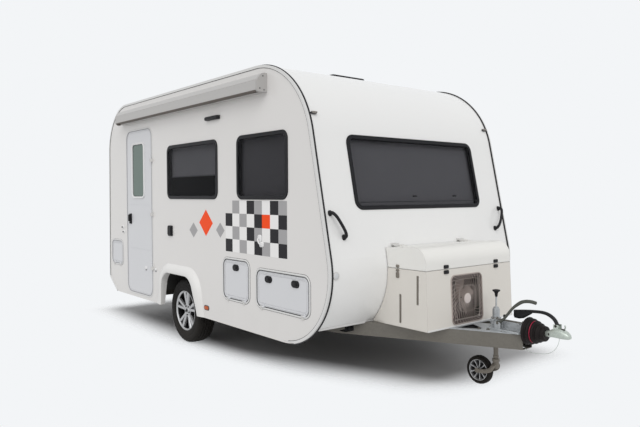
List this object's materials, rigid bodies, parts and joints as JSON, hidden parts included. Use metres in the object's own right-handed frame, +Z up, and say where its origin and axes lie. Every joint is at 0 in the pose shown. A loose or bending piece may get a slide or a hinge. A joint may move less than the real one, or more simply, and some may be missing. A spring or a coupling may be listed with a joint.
{
  "type": "travel caravan",
  "caption": "Single-axle touring caravan with a hollow cabin, framed windows, hinged door, locker hatches, roll-out awning case, front box with fan grille, drawbar and jockey wheel.",
  "frame": {"origin": "on the ground, below the middle of the whole box", "axes": "+X forward to the coupling, +Y to the left side, +Z up"},
  "size_m": [5.5084, 2.35, 2.6293],
  "materials": {
    "unit_case": "grey coated sheet",
    "awning_metal": "silver anodised aluminium",
    "awning_cap": "grey moulded plastic",
    "galvanised": "hot-dip galvanised steel, dull spangle",
    "drum_iron": "dark cast iron",
    "hinge_plastic": "white moulded plastic",
    "bellows_rubber": "black rubber",
    "grip": "black plastic grip",
    "coupling_metal": "pale zinc-plated steel casting",
    "handle_plastic": "textured grey-black plastic",
    "window_pane": "dark tinted acrylic",
    "window_frame": "black frame with rounded corners",
    "trim": "white coated aluminium edging",
    "door_skin": "smooth coated sheet, cool white",
    "grille": "pale wire grille",
    "fan_plastic": "black plastic",
    "floor_board": "coated plywood underside",
    "box_skin": "moulded plastic, warm off-white",
    "front_skin": "smooth gel-coat skin, white",
    "tyre": "black rubber",
    "marker_lens": "amber side markers, dark upper markers and awning lamp",
    "bumper_plastic": "white moulded plastic",
    "lamp_lens": "ribbed lamp lenses",
    "alloy": "machined alloy with dark pockets",
    "vent_plastic": "dark grey plastic",
    "wall_skin": "satin gel-coat skin on a sandwich panel, warm white",
    "flare": "moulded plastic, white",
    "liner": "ribbed black plastic liner"
  },
  "bodies": {
    "caravan": {"air_conditioner": "unit_case", "awning_case": "awning_metal", "awning_end_caps": "awning_cap", "axle_beam": "galvanised", "cabin_hinges": "hinge_plastic", "chassis_rail_left": "galvanised", "chassis_rail_right": "galvanised", "coupling_bellows": "bellows_rubber", "coupling_head": "coupling_metal", "cross_members_and_brackets": "galvanised", "drawbar_beam_left": "galvanised", "drawbar_beam_right": "galvanised", "drawbar_plate": "galvanised", "edge_trims": "trim", "fan_grille": "grille", "floor": "floor_board", "front_box": "box_skin", "front_panel": "front_skin", "grab_handles": "handle_plastic", "jockey_post": "galvanised", "marker_lamps": "marker_lens", "overrun_housing": "galvanised", "rear_bumper": "bumper_plastic", "rear_lamps": "lamp_lens", "rear_panel": "front_skin", "roof_panel": "front_skin", "roof_vent_frame": "vent_plastic", "side_wall_left": "wall_skin", "side_wall_right": "wall_skin", "swing_arms": "galvanised", "wheel_arch_flares": "flare", "wheel_housings": "liner", "window_frames": "window_frame", "window_panes": "window_pane"},
    "wheel_right": {"tyre_right": "tyre", "rim_right": "alloy", "brake_drum_right": "drum_iron"},
    "wheel_left": {"tyre_left": "tyre", "rim_left": "alloy", "brake_drum_left": "drum_iron"},
    "door": {"entrance_door": "door_skin", "door_window_frame": "window_frame", "door_pane": "window_pane", "door_handle": "handle_plastic"},
    "middle_hatch_leaf": {"middle_hatch": "door_skin"},
    "front_hatch_leaf": {"front_hatch": "door_skin"},
    "service_hatch_leaf": {"service_hatch": "door_skin"},
    "box_lid": {"front_box_lid": "box_skin"},
    "coupling_lever": {"coupling_handle": "grip"},
    "handbrake": {"handbrake_lever": "grip"},
    "jockey_slider": {"jockey_leg": "galvanised"},
    "jockey_caster": {"jockey_fork": "galvanised"},
    "jockey_wheel": {"jockey_tyre": "tyre", "jockey_disc": "galvanised"},
    "vent_lid": {"roof_vent_lid": "vent_plastic"},
    "fan": {"fan_rotor": "fan_plastic"},
    "steady_fr": {"steady_front_right": "galvanised"},
    "steady_fl": {"steady_front_left": "galvanised"},
    "steady_rr": {"steady_rear_right": "galvanised"},
    "steady_rl": {"steady_rear_left": "galvanised"}
  },
  "joints": [
    {"name": "wheel_right_spin", "type": "hinge", "parent": "caravan", "child": "wheel_right", "pos_m": [-0.8435, -0.922, 0.327], "axis": [0, 1, 0], "continuous": true},
    {"name": "wheel_left_spin", "type": "hinge", "parent": "caravan", "child": "wheel_left", "pos_m": [-0.8435, 0.978, 0.327], "axis": [0, 1, 0], "continuous": true},
    {"name": "door_hinge", "type": "hinge", "parent": "caravan", "child": "door", "pos_m": [-1.4665, -1.09, 1.3], "axis": [0, 0, 1], "range_deg": [0, 150]},
    {"name": "middle_hatch_hinge", "type": "hinge", "parent": "caravan", "child": "middle_hatch_leaf", "pos_m": [0.258, -1.085, 0.588], "axis": [1, 0, 0], "range_deg": [0, 150]},
    {"name": "front_hatch_hinge", "type": "hinge", "parent": "caravan", "child": "front_hatch_leaf", "pos_m": [0.9425, -1.085, 0.586], "axis": [1, 0, 0], "range_deg": [0, 150]},
    {"name": "service_hatch_hinge", "type": "hinge", "parent": "caravan", "child": "service_hatch_leaf", "pos_m": [-2.472, -1.085, 0.687], "axis": [1, 0, 0], "range_deg": [0, 150]},
    {"name": "box_lid_hinge", "type": "hinge", "parent": "caravan", "child": "box_lid", "pos_m": [1.5465, 0.028, 1.108], "axis": [0, -1, 0], "range_deg": [0, 65]},
    {"name": "coupling_handle_pivot", "type": "hinge", "parent": "caravan", "child": "coupling_lever", "pos_m": [2.6565, 0.028, 0.596], "axis": [0, 1, 0], "range_deg": [0, 60]},
    {"name": "handbrake_pivot", "type": "hinge", "parent": "caravan", "child": "handbrake", "pos_m": [2.2325, -0.044, 0.56], "axis": [0, -1, 0], "range_deg": [-20, 50]},
    {"name": "jockey_slide", "type": "slide", "parent": "caravan", "child": "jockey_slider", "axis": [0, 0, 1], "range_m": [-0.09, 0.11]},
    {"name": "jockey_swivel", "type": "hinge", "parent": "jockey_slider", "child": "jockey_caster", "pos_m": [2.0745, 0.153, 0.262], "axis": [0, 0, 1], "continuous": true},
    {"name": "jockey_wheel_spin", "type": "hinge", "parent": "jockey_caster", "child": "jockey_wheel", "pos_m": [1.9265, 0.153, 0.112], "axis": [0, 1, 0], "continuous": true},
    {"name": "vent_lid_hinge", "type": "hinge", "parent": "caravan", "child": "vent_lid", "pos_m": [0.4335, 0.028, 2.595], "axis": [0, 1, 0], "range_deg": [0, 60]},
    {"name": "fan_spin", "type": "hinge", "parent": "caravan", "child": "fan", "pos_m": [1.8615, -0.031, 0.703], "axis": [1, 0, 0], "continuous": true},
    {"name": "steady_fr_hinge", "type": "hinge", "parent": "caravan", "child": "steady_fr", "pos_m": [0.7165, -0.752, 0.438], "axis": [0, -1, 0], "range_deg": [0, 85]},
    {"name": "steady_fl_hinge", "type": "hinge", "parent": "caravan", "child": "steady_fl", "pos_m": [0.7165, 0.808, 0.438], "axis": [0, -1, 0], "range_deg": [0, 85]},
    {"name": "steady_rr_hinge", "type": "hinge", "parent": "caravan", "child": "steady_rr", "pos_m": [-2.4035, -0.752, 0.438], "axis": [0, 1, 0], "range_deg": [0, 85]},
    {"name": "steady_rl_hinge", "type": "hinge", "parent": "caravan", "child": "steady_rl", "pos_m": [-2.4035, 0.808, 0.438], "axis": [0, 1, 0], "range_deg": [0, 85]}
  ]
}
